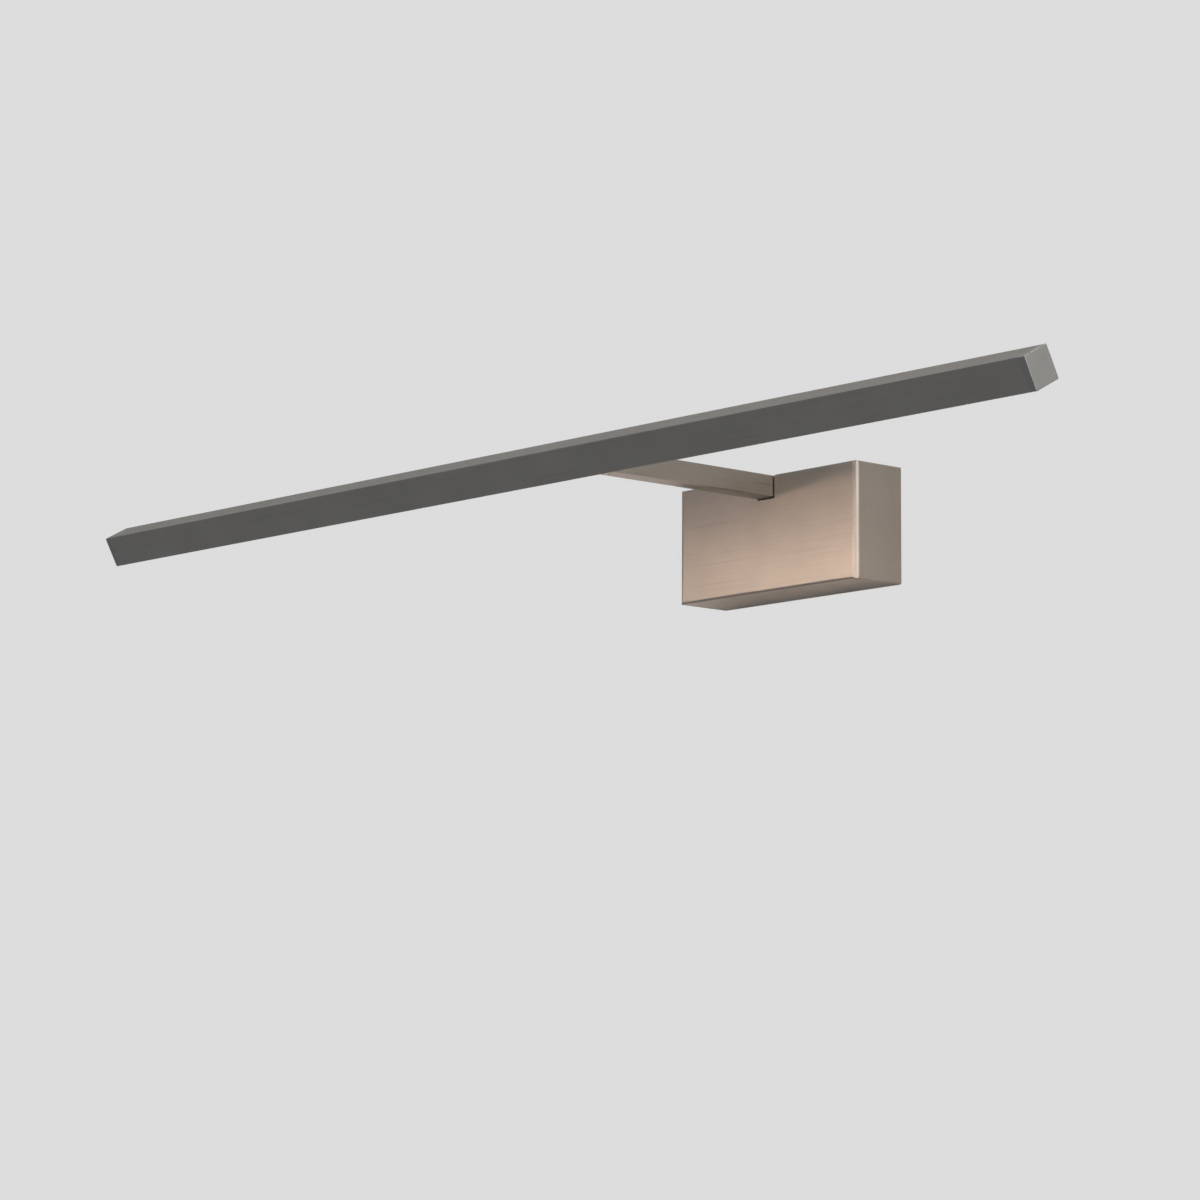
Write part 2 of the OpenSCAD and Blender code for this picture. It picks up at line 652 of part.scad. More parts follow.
module arm_lead() {
    y0 = -lead_exit_y;
    color("black") wire([
        [lead_start[0], lead_start[1], driver_top - 3],
        [lead_start[0], lead_start[1], driver_top + 1],
        [lead_start[0] + 1, lead_start[1] - 1, driver_top + 4],
        [-4, y0 + 3, driver_top + 5.5],
        [-0.6, y0 + 0.5, driver_top + 7],
        [0, y0, arm_bottom - 1],
        [0, y0 - 0.3, arm_bottom + 2.5],
        [0, y0 - 2.5, arm_z + lead_up - 3],
        [0, y0 - 6.5, arm_z + lead_up - 0.4],
        [0, y0 - 12, arm_z + lead_up],
        [0, -arm_reach / 2, arm_z + lead_up],
        [0, -fork_y0 + plug_l, arm_z + lead_up],
        [0, -arm_reach + 0.5, arm_z + lead_up]
    ], lead_r, 4);
}

module pivot_screw() {
    head_h = 2;
    socket_r = 1.2;
    socket_h = 1.2;
    shank_l = arm_w + nut_h + 0.2;
    color("gray") translate([arm_w / 2, -arm_reach, arm_z]) rotate([0, 90, 0]) difference() {
        union() {
            translate([0, 0, -shank_l]) cylinder(r = pivot_r, h = shank_l + eps);
            cylinder(r = screw3_head_r, h = head_h);
        }
        translate([0, 0, head_h - socket_h]) cylinder(r = socket_r, h = socket_h + 1, $fn = 6);
    }
}

module pivot_nut() {
    color("gray") translate([-arm_w / 2 - nut_h, -arm_reach, arm_z]) rotate([0, 90, 0]) difference() {
        cylinder(r = nut_r, h = nut_h, $fn = 6);
        translate([0, 0, -eps]) cylinder(r = pivot_r + face_gap, h = nut_h + 2 * eps);
    }
}

module friction_washers() {
    color("ivory") for (s = [-1, 1]) difference() {
        across_arm(arm_reach, arm_z, cheek_r, washer_t, s * (ear_in - washer_t / 2));
        across_arm(arm_reach, arm_z, pivot_r + face_gap, 2 * arm_w);
    }
}

// ---- head ----

// Puts a piece drawn in the head's own frame onto the arm's pivot at the rest tilt
module on_head() {
    translate([0, -arm_reach, arm_z]) rotate([head_tilt, 0, 0])
        translate([0, -head_centre_back, 0]) children();
}

module hinge_block() {
    cheek_in = lead_slot / 2;
    cheek_t = cheek_out - cheek_in;
    cheek_y0 = head_d / 2 + flange_t - eps;
    color("gray") on_head() difference() {
        union() {
            out_from_wall(flange_t, -head_d / 2 - flange_t) rounded_rect(flange_w, flange_h, 1);
            for (s = [-1, 1]) {
                block([s * cheek_in, cheek_y0, -cheek_r], [s * cheek_out, head_centre_back, cheek_r]);
                across_arm(-head_centre_back, 0, cheek_r, cheek_t, s * (cheek_in + cheek_out) / 2);
            }
        }
        across_arm(-head_centre_back, 0, pivot_r + run_gap, 2 * arm_w);
        peg(0, -head_d / 2 - flange_t - 1, lead_up, lead_r + 0.2, flange_t + 2);
        for (s = [-1, 1])
            peg(s * hinge_screw_x, -head_d / 2 - flange_t - 1, 0, hinge_screw_r + face_gap, flange_t + 2);
    }
}

module at_hinge_screws() {
    for (s = [-1, 1]) translate([s * hinge_screw_x, head_d / 2 - head_t, 0]) rotate([90, 0, 0]) children();
}

module hinge_screws() {
    length = head_t + flange_t - 0.2;
    color("gray") on_head() at_hinge_screws() csk_screw(hinge_screw_r, hinge_head_r, hinge_head_h, length);
}

module channel_section() {
    difference() {
        rounded_rect(head_d, head_h, head_r);
        translate([-inside_d / 2, ledge_z + lip_t]) square([inside_d, inside_top - ledge_z - lip_t]);
        translate([-inside_d / 2, -head_h / 2 + lip_t]) square([inside_d, ledge_z + head_h / 2 - lip_t]);
        translate([-inside_d / 2 + lip_t, -head_h / 2 - 1]) square([inside_d - 2 * lip_t, head_h / 2 + 1]);
    }
}

module head_channel() {
    color("tan") on_head() difference() {
        along_x(channel_l) channel_section();
        peg(0, -head_d / 2 - 1, lead_up, lead_r + 0.2, head_t + 2);
        at_hinge_screws() csk_hole(hinge_screw_r, hinge_head_r, hinge_head_h, head_t + 1);
    }
}

module head_lead() {
    color("black") on_head() wire([
        [0, head_centre_back - 0.5, lead_up],
        [0, head_d / 2 + flange_t, lead_up],
        [0, inside_d / 2, lead_up],
        [0.9, connector_y + 0.9, lead_up],
        [3.2, connector_y + 0.1, lead_up + 0.2],
        [connector_x - 3, connector_y, board_bottom - connector_h / 2],
        [connector_x + 1, connector_y, board_bottom - connector_h / 2]
    ], lead_r, 4);
}

module lead_connector() {
    color("white") on_head() difference() {
        block([connector_x, connector_y - connector_w / 2, board_bottom],
            [connector_x + connector_l, connector_y + connector_w / 2, board_bottom - connector_h]);
        translate([connector_x - 1, connector_y, board_bottom - connector_h / 2]) rotate([0, 90, 0])
            cylinder(r = lead_r + 0.05, h = 3);
    }
}

module thermal_tape() {
    color("lightgray") on_head()
        block([-board_l / 2, -board_w / 2, inside_top], [board_l / 2, board_w / 2, inside_top - tape_t]);
}

module led_board() {
    color("white") on_head()
        block([-board_l / 2, -board_w / 2, inside_top - tape_t], [board_l / 2, board_w / 2, board_bottom]);
}

module led_chips() {
    color("gold") on_head() for (i = [0 : chip_count - 1])
        translate([(i - (chip_count - 1) / 2) * led_pitch, 0, board_bottom])
            block([-chip_x / 2, -chip_y / 2, 0], [chip_x / 2, chip_y / 2, -chip_t]);
}

module diffuser() {
    edge = inside_d - 2 * slide_gap;
    face = inside_d - 2 * lip_t - 2 * slide_gap;
    color("white") on_head() along_x(channel_l - 2 * slide_gap) union() {
        translate([-edge / 2, -head_h / 2 + lip_t + slide_gap]) square([edge, diffuser_t]);
        translate([-face / 2, -head_h / 2]) square([face, lip_t + slide_gap + eps]);
    }
}

// The right-hand end cap, centred on its thickness, with a U-shaped lug that goes into the channel
module end_cap() {
    lug_t = 1.5;
    lug_y = inside_d / 2 - slide_gap;
    lug_top = inside_top - tape_t - board_t - 1.2;
    lug_bottom = ledge_z + lip_t + slide_gap;
    along_x(cap_t) rounded_rect(head_d, head_h, head_r);
    translate([-cap_t / 2, 0, 0]) difference() {
        block([eps, -lug_y, lug_bottom], [-lug_l, lug_y, lug_top]);
        block([-0.5, -lug_y + lug_t, lug_bottom - 1], [-lug_l - 1, lug_y - lug_t, lug_top - lug_t]);
    }
}

module end_cap_right() {
    color("tan") on_head() translate([(head_l - cap_t) / 2, 0, 0]) end_cap();
}

module end_cap_left() {
    color("tan") on_head() mirror([1, 0, 0]) translate([(head_l - cap_t) / 2, 0, 0]) end_cap();
}

// ---- build ----

wall_plate();
cover();
cover_screws();
cable_grommet();
earth_screw();
earth_tag();
earth_wire();
terminal_body();
terminal_clamps();
terminal_screws();
terminal_fixing_screw();
live_wire();
neutral_wire();
driver_case();
driver_lid();
driver_board();
driver_transformer();
driver_capacitors();
driver_screws();
arm_foot();
arm_foot_screws();
arm_set_screw();
arm_tube();
lead_bush();
arm_fork();
fork_pin();
arm_lead();
pivot_screw();
pivot_nut();
friction_washers();
hinge_block();
hinge_screws();
head_channel();
head_lead();
lead_connector();
thermal_tape();
led_board();
led_chips();
diffuser();
end_cap_left();
end_cap_right();
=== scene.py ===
"""Looks of the picture light: its materials, its flexible lead, and a studio with the camera.

Everything is in metres in the model's own frame: +X along the head, +Y into the wall, +Z up.
"""
import json
import math

import bmesh
import bpy
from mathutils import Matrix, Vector


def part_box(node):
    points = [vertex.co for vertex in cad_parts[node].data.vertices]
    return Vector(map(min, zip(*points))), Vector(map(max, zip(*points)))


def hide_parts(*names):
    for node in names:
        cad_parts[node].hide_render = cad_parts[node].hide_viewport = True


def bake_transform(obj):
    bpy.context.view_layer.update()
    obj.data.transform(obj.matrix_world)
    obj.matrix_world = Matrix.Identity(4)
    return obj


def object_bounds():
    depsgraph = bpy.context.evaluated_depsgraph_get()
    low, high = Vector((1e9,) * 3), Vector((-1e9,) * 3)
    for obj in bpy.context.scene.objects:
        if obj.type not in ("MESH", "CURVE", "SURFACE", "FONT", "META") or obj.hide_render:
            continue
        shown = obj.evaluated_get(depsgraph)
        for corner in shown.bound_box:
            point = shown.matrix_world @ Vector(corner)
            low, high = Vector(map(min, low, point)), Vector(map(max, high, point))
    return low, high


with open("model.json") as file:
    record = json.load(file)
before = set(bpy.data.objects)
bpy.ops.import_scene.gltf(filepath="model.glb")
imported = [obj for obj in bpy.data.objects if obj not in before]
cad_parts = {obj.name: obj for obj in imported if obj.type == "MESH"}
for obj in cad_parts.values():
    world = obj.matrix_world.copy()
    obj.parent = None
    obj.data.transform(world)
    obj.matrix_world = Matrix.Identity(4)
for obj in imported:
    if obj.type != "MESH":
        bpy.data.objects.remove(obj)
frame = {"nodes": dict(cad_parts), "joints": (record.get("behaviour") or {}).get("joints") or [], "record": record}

bpy.context.view_layer.update()
cad_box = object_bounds()

MM = 0.001
JOINT = frame["joints"][0]
PIVOT = Vector(JOINT["pos_m"])
HEAD_TILT = math.radians(-JOINT["range_deg"][0])     # at rest, from the light pointing straight down
HEAD_BACK = Vector((0.0, math.cos(HEAD_TILT), math.sin(HEAD_TILT)))
HEAD_UP = Vector((0.0, -math.sin(HEAD_TILT), math.cos(HEAD_TILT)))


# ---- nodes that every material uses ----

VECTOR_INPUTS = (4, 5)    # a mix node's sockets, which share their names with those of its numbers
VECTOR_OUTPUT = 1
COLOUR_INPUTS = (6, 7)
COLOUR_OUTPUT = 2
EDGE_ON = 0.6             # how much of a face's normal lies along an axis
FACE_ON = 0.8
BEVEL_SAMPLES = 6
FINE_EDGE = 0.15 * MM     # radius of edges that are only broken by tumbling and plating

def new_material(name):
    """A node material and its shader."""
    material = bpy.data.materials.new(name)
    material.use_nodes = True
    return material, material.node_tree.nodes["Principled BSDF"]


def add_node(tree, kind, inputs=None, **settings):
    """A node with its settings, and with values on inputs that aren't linked."""
    node = tree.nodes.new(kind)
    for key, value in settings.items():
        setattr(node, key, value)
    for key, value in (inputs or {}).items():
        node.inputs[key].default_value = value
    return node


def place_of(tree, grain, turn=(0.0, 0.0, 0.0)):
    """The object's own coordinates, turned, and counted in grains of the given size."""
    coords = add_node(tree, "ShaderNodeTexCoord")
    mapping = add_node(tree, "ShaderNodeMapping", {"Rotation": turn, "Scale": grain}, vector_type="TEXTURE")
    tree.links.new(coords.outputs["Object"], mapping.inputs["Vector"])
    return mapping.outputs["Vector"]


def noise(tree, vector, detail=2.0):
    """Noise around 0.5, with about one bump for each grain."""
    node = add_node(tree, "ShaderNodeTexNoise", {"Scale": 1.0, "Detail": detail, "Roughness": 0.55})
    tree.links.new(vector, node.inputs["Vector"])
    return node.outputs["Fac"]


def between(tree, value, low, high, start=0.3, end=0.7):
    """A value that goes from start to end, the usual spread of noise, made to go from low to high."""
    ends = {"From Min": start, "From Max": end, "To Min": low, "To Max": high}
    node = add_node(tree, "ShaderNodeMapRange", ends)
    tree.links.new(value, node.inputs["Value"])
    return node.outputs["Result"]


def math_node(tree, operation, first, second=None):
    """One operation on one or two values."""
    node = add_node(tree, "ShaderNodeMath", operation=operation)
    tree.links.new(first, node.inputs[0])
    if second is not None:
        tree.links.new(second, node.inputs[1])
    return node.outputs["Value"]


def mixed(tree, share, first, second):
    """The first number where share is 0, and the second where it is 1."""
    node = add_node(tree, "ShaderNodeMix")
    for name, value in (("Factor", share), ("A", first), ("B", second)):
        tree.links.new(value, node.inputs[name])
    return node.outputs["Result"]


def mixed_vector(tree, share, first, second):
    """The first vector where share is 0, and the second where it is 1."""
    node = add_node(tree, "ShaderNodeMix", data_type="VECTOR")
    tree.links.new(share, node.inputs["Factor"])
    tree.links.new(first, node.inputs[VECTOR_INPUTS[0]])
    tree.links.new(second, node.inputs[VECTOR_INPUTS[1]])
    return node.outputs[VECTOR_OUTPUT]


def mixed_colour(tree, share, first, second):
    """The first plain colour where share is 0, and the second where it is 1."""
    ends = dict(zip(COLOUR_INPUTS, (first, second)))
    node = add_node(tree, "ShaderNodeMix", ends, data_type="RGBA")
    tree.links.new(share, node.inputs["Factor"])
    return node.outputs[COLOUR_OUTPUT]


def shaded(tree, colour, tone):
    """A colour made lighter and darker by a tone around 1."""
    node = add_node(tree, "ShaderNodeVectorMath", operation="SCALE")
    node.inputs[0].default_value = colour
    tree.links.new(tone, node.inputs["Scale"])
    return node.outputs["Vector"]


def direction(tree, axis):
    """A constant direction along one axis."""
    ends = [0.0, 0.0, 0.0]
    ends[axis] = 1.0
    return add_node(tree, "ShaderNodeCombineXYZ", dict(zip("XYZ", ends))).outputs["Vector"]


def facing(tree, axis):
    """1 on faces that look along the axis, and 0 on the others."""
    coords = add_node(tree, "ShaderNodeTexCoord")
    parts = add_node(tree, "ShaderNodeSeparateXYZ")
    tree.links.new(coords.outputs["Normal"], parts.inputs["Vector"])
    return between(tree, math_node(tree, "ABSOLUTE", parts.outputs[axis]), 0.0, 1.0, EDGE_ON, FACE_ON)


def relief(tree, shader, height, strength, depth, edge=FINE_EDGE):
    """Bumps of the given depth on the shader, and sharp edges that shine as if slightly rounded."""
    rounded = add_node(tree, "ShaderNodeBevel", {"Radius": edge}, samples=BEVEL_SAMPLES)
    node = add_node(tree, "ShaderNodeBump", {"Strength": strength, "Distance": depth})
    tree.links.new(rounded.outputs["Normal"], node.inputs["Normal"])
    tree.links.new(height, node.inputs["Height"])
    tree.links.new(node.outputs["Normal"], shader.inputs["Normal"])


# ---- brushed metal ----

HAIR = 0.22 * MM          # width of the finest brush lines
STREAK = 0.85 * MM        # width of the streaks that show from a distance
HAIR_LENGTH = 32 * MM
STREAK_LENGTH = 75 * MM
MARK = 0.9 * MM           # width of the few dark marks
MARK_LENGTH = 60 * MM
CLOUD = 26 * MM           # size of the faint clouds in the plating
HAIR_TONE = 0.03          # how much lighter and darker each of them makes the metal
STREAK_TONE = 0.028
CLOUD_TONE = 0.04
MARK_TONE = 0.07
MARK_LEVELS = (0.20, 0.31)             # the lowest noise, so that the marks are few
END_STREAKS = (0.46, 0.54)             # fainter than on the long faces
ROUGH_SPREAD = 0.03
BRUSH_DEPTH = 0.012 * MM


def line_grain(width, length, axis):
    """Grain size of lines that run along the axis."""
    grain = [width] * 3
    grain[axis] = length
    return grain


def brush_lines(tree, axis, turn):
    """Fine hairs and wider streaks along the axis."""
    hairs = noise(tree, place_of(tree, line_grain(HAIR, HAIR_LENGTH, axis), turn))
    streaks = noise(tree, place_of(tree, line_grain(STREAK, STREAK_LENGTH, axis), turn), 3.0)
    return hairs, streaks


def varied(tree, value, spread):
    """A tone around 1 that follows a noise."""
    return between(tree, value, 1.0 - spread, 1.0 + spread)


def product(tree, *values):
    """Several values multiplied."""
    result = values[0]
    for value in values[1:]:
        result = math_node(tree, "MULTIPLY", result, value)
    return result


def brushed(name, colour, axis, rough=0.36, stretch=0.5, turn=(0.0, 0.0, 0.0), end_axis=None,
            rim_painted_shade=1.0, edge=FINE_EDGE):
    """Satin plating over lines brushed along the axis, with sharp edges that shine as if rounded.

    The faces that look along X are brushed along end_axis instead, when there is one, and all the
    other faces are then darkened by the rim tone, as painted shade. turn is the turn of the lines' pattern.
    """
    material, shader = new_material(name)
    tree = material.node_tree
    hairs, streaks = brush_lines(tree, axis, turn)
    along = direction(tree, axis)
    rim = []
    if end_axis is not None:
        end_share = facing(tree, 0)
        end_hairs, end_streaks = brush_lines(tree, end_axis, turn)
        hairs = mixed(tree, end_share, hairs, end_hairs)
        streaks = mixed(tree, end_share, streaks, between(tree, end_streaks, *END_STREAKS))
        along = mixed_vector(tree, end_share, along, direction(tree, end_axis))
        # painted shade: every face that doesn't look along X is made darker by the rim tone
        rim = [between(tree, end_share, rim_painted_shade, 1.0, 0.0, 1.0)]
    marks = noise(tree, place_of(tree, line_grain(MARK, MARK_LENGTH, axis), turn), 0.0)
    clouds = noise(tree, place_of(tree, (CLOUD,) * 3))
    tone = product(tree,
                   varied(tree, streaks, STREAK_TONE),
                   varied(tree, clouds, CLOUD_TONE),
                   between(tree, marks, 1.0 - MARK_TONE, 1.0, *MARK_LEVELS),
                   varied(tree, hairs, HAIR_TONE),
                   *rim)
    roughness = between(tree, streaks, rough - ROUGH_SPREAD, rough + ROUGH_SPREAD)
    world_along = add_node(tree, "ShaderNodeVectorTransform", vector_type="VECTOR",
                           convert_from="OBJECT", convert_to="WORLD")
    tree.links.new(shaded(tree, colour, tone), shader.inputs["Base Color"])
    tree.links.new(roughness, shader.inputs["Roughness"])
    tree.links.new(along, world_along.inputs["Vector"])
    tree.links.new(world_along.outputs["Vector"], shader.inputs["Tangent"])
    shader.inputs["Metallic"].default_value = 1.0
    shader.inputs["Anisotropic"].default_value = stretch
    shader.inputs["Anisotropic Rotation"].default_value = 0.25
    relief(tree, shader, hairs, 0.25, BRUSH_DEPTH, edge)
    return material


# ---- the other materials ----

def small_metal(name, colour, rough, metallic=1.0):
    """Turned, stamped or plated small parts, with fine tool marks and faint clouds."""
    material, shader = new_material(name)
    tree = material.node_tree
    marks = noise(tree, place_of(tree, (0.5 * MM,) * 3), 4.0)
    clouds = noise(tree, place_of(tree, (9 * MM,) * 3))
    tone = product(tree, between(tree, marks, 0.93, 1.06), between(tree, clouds, 0.92, 1.05))
    tree.links.new(shaded(tree, colour, tone), shader.inputs["Base Color"])
    tree.links.new(between(tree, clouds, rough - 0.06, rough + 0.08), shader.inputs["Roughness"])
    shader.inputs["Metallic"].default_value = metallic
    relief(tree, shader, marks, 0.2, 0.02 * MM)
    return material


def moulded(name, colour, rough, grain=0.35 * MM, depth=0.03 * MM, coat=0.0):
    """Moulded plastic or rubber with a fine spark-eroded grain."""
    material, shader = new_material(name)
    tree = material.node_tree
    fine = noise(tree, place_of(tree, (grain,) * 3), 3.0)
    clouds = noise(tree, place_of(tree, (14 * MM,) * 3))
    tree.links.new(shaded(tree, colour, between(tree, clouds, 0.94, 1.04)), shader.inputs["Base Color"])
    tree.links.new(between(tree, fine, rough - 0.05, rough + 0.07), shader.inputs["Roughness"])
    shader.inputs["Coat Weight"].default_value = coat
    relief(tree, shader, fine, 0.25, depth)
    return material


def striped(name, colour, stripe, rough, width, axis):
    """Insulation of one colour, with bands of a second one across the axis."""
    material, shader = new_material(name)
    tree = material.node_tree
    wave = add_node(tree, "ShaderNodeTexWave", {"Scale": 0.5, "Distortion": 0.0}, bands_direction="XYZ"[axis])
    tree.links.new(place_of(tree, line_grain(1.0, width, axis)), wave.inputs["Vector"])
    fine = noise(tree, place_of(tree, (0.3 * MM,) * 3), 3.0)
    share = between(tree, wave.outputs["Fac"], 0.0, 1.0, 0.45, 0.55)
    tree.links.new(mixed_colour(tree, share, (*colour, 1.0), (*stripe, 1.0)), shader.inputs["Base Color"])
    tree.links.new(between(tree, fine, rough - 0.05, rough + 0.07), shader.inputs["Roughness"])
    relief(tree, shader, fine, 0.2, 0.02 * MM)
    return material


BRAID_LEAN = math.radians(38)


def braided(name, colour, rough):
    """Woven sleeve: two sets of fine ribs that cross each other."""
    material, shader = new_material(name)
    tree = material.node_tree
    ribs = []
    for lean in (BRAID_LEAN, -BRAID_LEAN):
        wave = add_node(tree, "ShaderNodeTexWave", {"Scale": 0.5, "Distortion": 0.6})
        tree.links.new(place_of(tree, (0.35 * MM,) * 3, (lean, 0.0, lean)), wave.inputs["Vector"])
        ribs.append(wave.outputs["Fac"])
    weave = math_node(tree, "MAXIMUM", *ribs)
    tone = between(tree, weave, 0.7, 1.25, 0.0, 1.0)
    tree.links.new(shaded(tree, colour, tone), shader.inputs["Base Color"])
    tree.links.new(between(tree, weave, rough + 0.1, rough - 0.05, 0.0, 1.0), shader.inputs["Roughness"])
    relief(tree, shader, weave, 0.4, 0.08 * MM)
    return material


GLOW = 20.5
MIDDLE_GLOW = 1.25 * GLOW
END_GLOW = 0.5 * GLOW
GLOW_FALL = (0.2, 1.0)    # where it falls, as shares of the way from the middle to an end
GLOW_COLOUR = (1.0, 0.77, 0.63, 1.0)
OPAL = (0.92, 0.90, 0.85)


def glowing(name, half_length):
    """Frosted opal strip, lit warm white from inside, and brighter in its middle than at its ends."""
    material, shader = new_material(name)
    tree = material.node_tree
    frost = noise(tree, place_of(tree, (0.18 * MM,) * 3))
    clouds = noise(tree, place_of(tree, (30 * MM, 5 * MM, 5 * MM)))
    tree.links.new(shaded(tree, OPAL, between(tree, clouds, 0.98, 1.01)), shader.inputs["Base Color"])
    tree.links.new(between(tree, frost, 0.48, 0.58), shader.inputs["Roughness"])
    parts = add_node(tree, "ShaderNodeSeparateXYZ")
    tree.links.new(place_of(tree, (half_length,) * 3), parts.inputs["Vector"])
    from_middle = math_node(tree, "ABSOLUTE", parts.outputs["X"])
    glow = between(tree, from_middle, MIDDLE_GLOW, END_GLOW, *GLOW_FALL)
    tree.links.new(glow, shader.inputs["Emission Strength"])
    shader.inputs["Emission Color"].default_value = GLOW_COLOUR
    relief(tree, shader, frost, 0.2, 0.02 * MM)
    return material


def make_materials():
    """Every finish by name."""
    # Painted light: these are one satin nickel in three copies. The cover and arm copy is warmer, painted warm
    # light from the lamp's glow, and the caps' copy is lighter and more neutral, painted neutral light.
    nickel = (0.40, 0.385, 0.362)
    glow_warmed_nickel = (0.40, 0.372, 0.338)
    neutrally_lit_cap_nickel = (0.425, 0.43, 0.425)
    tilted = (HEAD_TILT, 0.0, 0.0)
    return {
        "cover": brushed("satin_nickel_cover", glow_warmed_nickel, 0, rough=0.43, stretch=0.15, end_axis=2),
        "head": brushed("satin_nickel_head", nickel, 0),
        # the cap's rim faces get painted shade, at 0.84 of the tone of its end faces
        "cap": brushed("satin_nickel_cap", neutrally_lit_cap_nickel, 2, turn=tilted, end_axis=2, rim_painted_shade=0.84,
                       edge=0.5 * MM),
        "arm": brushed("satin_nickel_arm", glow_warmed_nickel, 1, rough=0.30),
        "nickel_screw": small_metal("nickel_screw", (0.45, 0.42, 0.39), 0.30),
        "zinc_steel": small_metal("zinc_steel", (0.62, 0.64, 0.66), 0.34),
        "black_steel": small_metal("black_steel", (0.035, 0.035, 0.04), 0.45, 0.6),
        "brass": small_metal("bare_brass", (0.78, 0.58, 0.25), 0.30),
        "black_rubber": moulded("black_rubber", (0.025, 0.025, 0.026), 0.75),
        "white_plastic": moulded("white_plastic", (0.80, 0.80, 0.78), 0.45),
        "black_plastic": moulded("black_plastic", (0.02, 0.02, 0.022), 0.30, coat=0.3),
        "green_board": moulded("green_board", (0.02, 0.16, 0.06), 0.28, coat=0.5),
        "white_board": moulded("white_board", (0.85, 0.85, 0.82), 0.30),
        "transformer_tape": moulded("transformer_tape", (0.82, 0.62, 0.10), 0.25, coat=0.4),
        "phosphor": moulded("phosphor", (0.90, 0.62, 0.12), 0.25),
        "thermal_pad": moulded("thermal_pad", (0.62, 0.62, 0.66), 0.70),
        "nylon": moulded("nylon", (0.80, 0.78, 0.70), 0.40),
        "lead_sleeve": braided("lead_sleeve", (0.03, 0.03, 0.032), 0.50),
        "live_sleeve": moulded("live_sleeve", (0.16, 0.06, 0.02), 0.35),
        "neutral_sleeve": moulded("neutral_sleeve", (0.02, 0.12, 0.50), 0.35),
        "earth_sleeve": striped("earth_sleeve", (0.10, 0.36, 0.03), (0.85, 0.72, 0.04), 0.35, 2.2 * MM, 2),
        "frosted_diffuser": glowing("frosted_diffuser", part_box("diffuser")[1].x),
    }


# A node whose finish isn't simply that of its slot
NICKEL_PARTS = {
    "cover": "cover",
    "head_channel": "head",
    "hinge_block": "head",
    "end_cap_left": "cap",
    "end_cap_right": "cap",
    "arm_tube": "arm",
    "arm_fork": "arm",
}


def dress_nodes(materials):
    """Give every node of the model its finish."""
    slots = {part["node"]: part["material_slot"] for part in frame["record"]["subparts"]}
    for name, node in frame["nodes"].items():
        finish = materials[NICKEL_PARTS.get(name, slots[name])]
        for slot in node.material_slots:
            slot.material = finish


# ---- the lead ----

LEAD_RADIUS = 1.1 * MM
LEAD_SIDES = 16
LEAD_STEPS = 10           # rings between one point of the route and the next


def middle(name):
    """The middle of a node's box."""
    low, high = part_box(name)
    return (low + high) / 2


def lead_route():
    """Points from the driver, through the bush and the arm, over the pivot and into the head."""
    case_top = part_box("driver_case")[1].z
    first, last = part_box("arm_lead")
    start = Vector((first.x + LEAD_RADIUS, last.y - LEAD_RADIUS, case_top))
    bush = middle("lead_bush")
    arm_low, arm_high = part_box("arm_tube")
    run = last.z - LEAD_RADIUS                      # height of the straight run in the arm
    over_pivot = run - PIVOT.z
    connector = middle("lead_connector")
    plug_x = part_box("lead_connector")[0].x

    def in_head(x, back, up):
        return PIVOT + Vector((x, 0.0, 0.0)) + HEAD_BACK * back + HEAD_UP * up

    plug_back = (connector - PIVOT).dot(HEAD_BACK)
    plug_up = (connector - PIVOT).dot(HEAD_UP)
    inside_box = [
        start - Vector((0.0, 0.0, 3 * MM)),
        start + Vector((0.0, 0.0, 1 * MM)),
        start + Vector((1 * MM, -1 * MM, 4 * MM)),
        Vector((-4 * MM, bush.y + 3 * MM, case_top + 5.5 * MM)),
        Vector((-0.6 * MM, bush.y + 0.5 * MM, case_top + 7 * MM)),
        Vector((0.0, bush.y, arm_low.z - 1 * MM)),
    ]
    inside_arm = [
        Vector((0.0, bush.y - 0.3 * MM, arm_low.z + 2.5 * MM)),
        Vector((0.0, bush.y - 2.5 * MM, run - 3 * MM)),
        Vector((0.0, bush.y - 6.5 * MM, run - 0.4 * MM)),
        Vector((0.0, bush.y - 12 * MM, run)),
        Vector((0.0, bush.y - 30 * MM, run)),
        Vector((0.0, (arm_low.y + arm_high.y) / 2, run)),
        Vector((0.0, arm_low.y + 12 * MM, run)),
        Vector((0.0, PIVOT.y + 6 * MM, run)),
        Vector((0.0, PIVOT.y + 1 * MM, run)),
    ]
    inside_head = [
        in_head(0.0, -1.5 * MM, over_pivot),
        in_head(0.0, -8 * MM, over_pivot),
        in_head(0.0, -11.6 * MM, over_pivot),
        in_head(0.9 * MM, plug_back + 0.9 * MM, over_pivot),
        in_head(3.2 * MM, plug_back + 0.1 * MM, over_pivot + 0.2 * MM),
        in_head(plug_x - 3 * MM, plug_back, plug_up),
        in_head(plug_x + 1 * MM, plug_back, plug_up),
    ]
    return inside_box + inside_arm + inside_head


def smooth_path(points, steps):
    """Catmull-Rom curve through the points."""
    path = []
    for i in range(len(points) - 1):
        before, a, b = points[max(i - 1, 0)], points[i], points[i + 1]
        after = points[min(i + 2, len(points) - 1)]
        for k in range(steps):
            t = k / steps
            path.append(0.5 * (2 * a + (b - before) * t + (2 * before - 5 * a + 4 * b - after) * t ** 2
                               + (3 * a - before - 3 * b + after) * t ** 3))
    path.append(points[-1])
    return path


